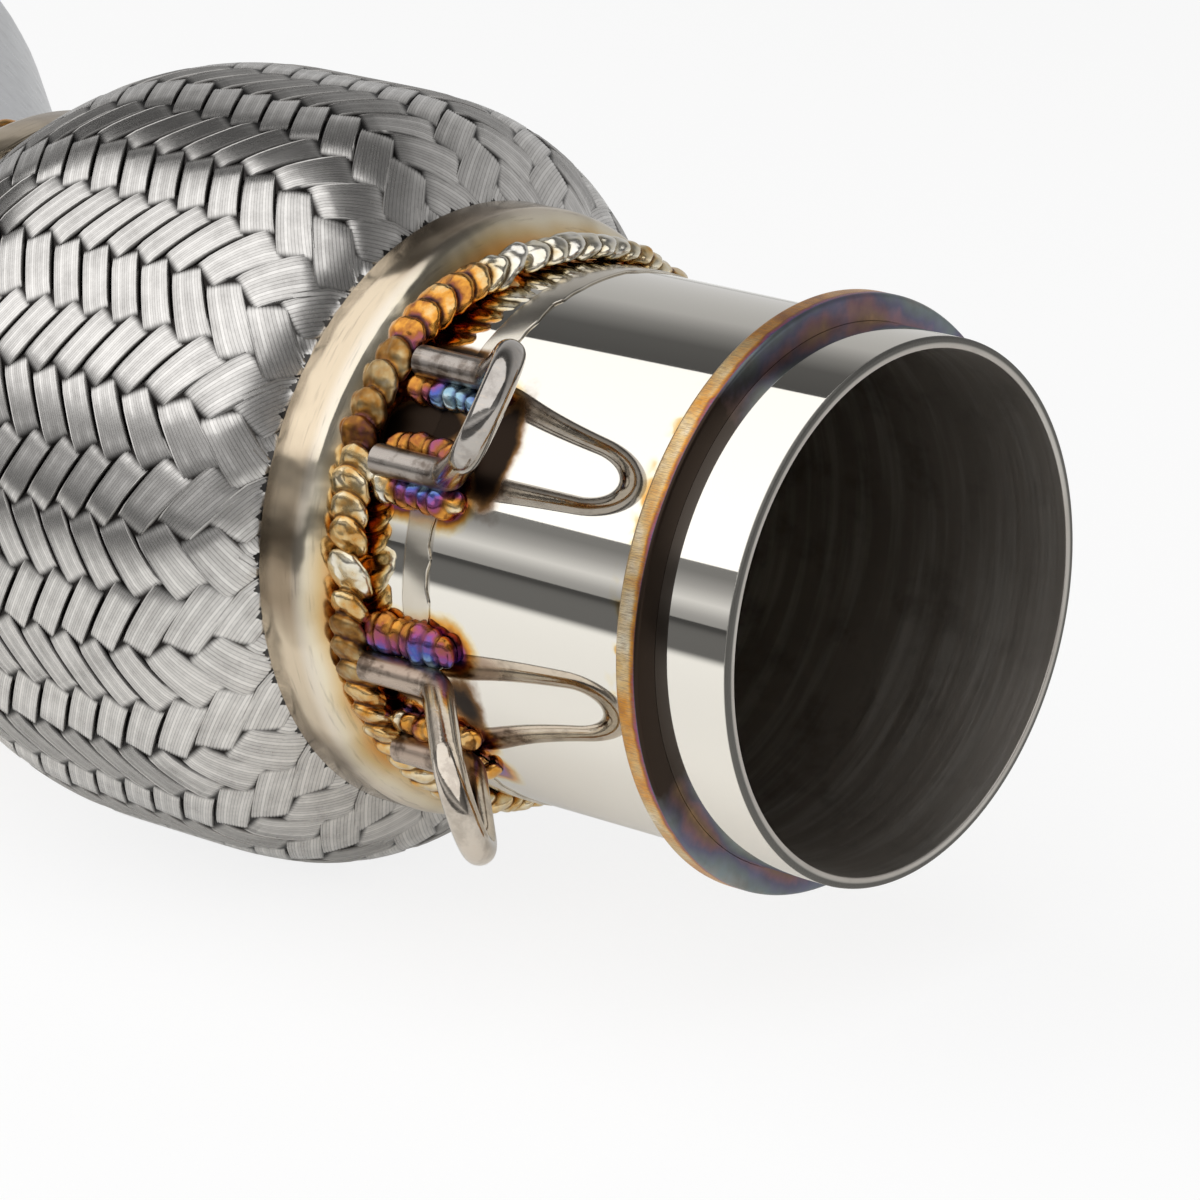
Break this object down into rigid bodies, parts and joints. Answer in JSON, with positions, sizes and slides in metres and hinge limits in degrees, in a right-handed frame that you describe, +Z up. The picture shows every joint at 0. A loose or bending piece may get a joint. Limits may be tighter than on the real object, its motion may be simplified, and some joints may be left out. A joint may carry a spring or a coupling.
{
  "type": "exhaust mid pipe",
  "caption": "Exhaust mid pipe with a slip-joint stub, spring hooks, a braided flex joint between collars and a bent rear pipe.",
  "frame": {"origin": "centre of the slip-joint mouth, in the plane of its rim", "axes": "+X along the stub out of the mouth, +Z up, +Y towards the side that the rear pipe turns to"},
  "size_m": [0.4751, 0.2077, 0.114],
  "materials": {
    "polished_tube": "mirror polished stainless tube with a brushed rim",
    "tinted_ring": "brushed stainless, straw to violet heat tint",
    "fusion_weld": "bright fusion weld with straw, violet and blue heat tint",
    "collar_steel": "spun stainless, straw heat tint",
    "hook_rod": "drawn stainless rod, grey to copper heat tint",
    "braid_wire": "bright fine stainless wire, laid flat in ribbons",
    "inner_steel": "thin formed stainless strip, brown with heat",
    "pipe_steel": "satin stainless tube with brown heat tint by the weld"
  },
  "bodies": {
    "root": {"stub_tube": "polished_tube", "neck_tube": "polished_tube", "stop_ring": "tinted_ring", "stop_ring_weld": "fusion_weld", "butt_weld": "fusion_weld", "front_collar": "collar_steel", "rear_collar": "collar_steel", "front_collar_weld": "fusion_weld", "rear_collar_weld": "fusion_weld", "upper_hook": "hook_rod", "lower_hook": "hook_rod", "upper_hook_weld_1": "fusion_weld", "upper_hook_weld_2": "fusion_weld", "upper_hook_weld_3": "fusion_weld", "lower_hook_weld_1": "fusion_weld", "lower_hook_weld_2": "fusion_weld", "lower_hook_weld_3": "fusion_weld", "outer_braid": "braid_wire", "bellows": "inner_steel", "liner_hose": "inner_steel", "front_end_ring": "inner_steel", "rear_end_ring": "inner_steel", "rear_pipe": "pipe_steel"}
  },
  "joints": []
}
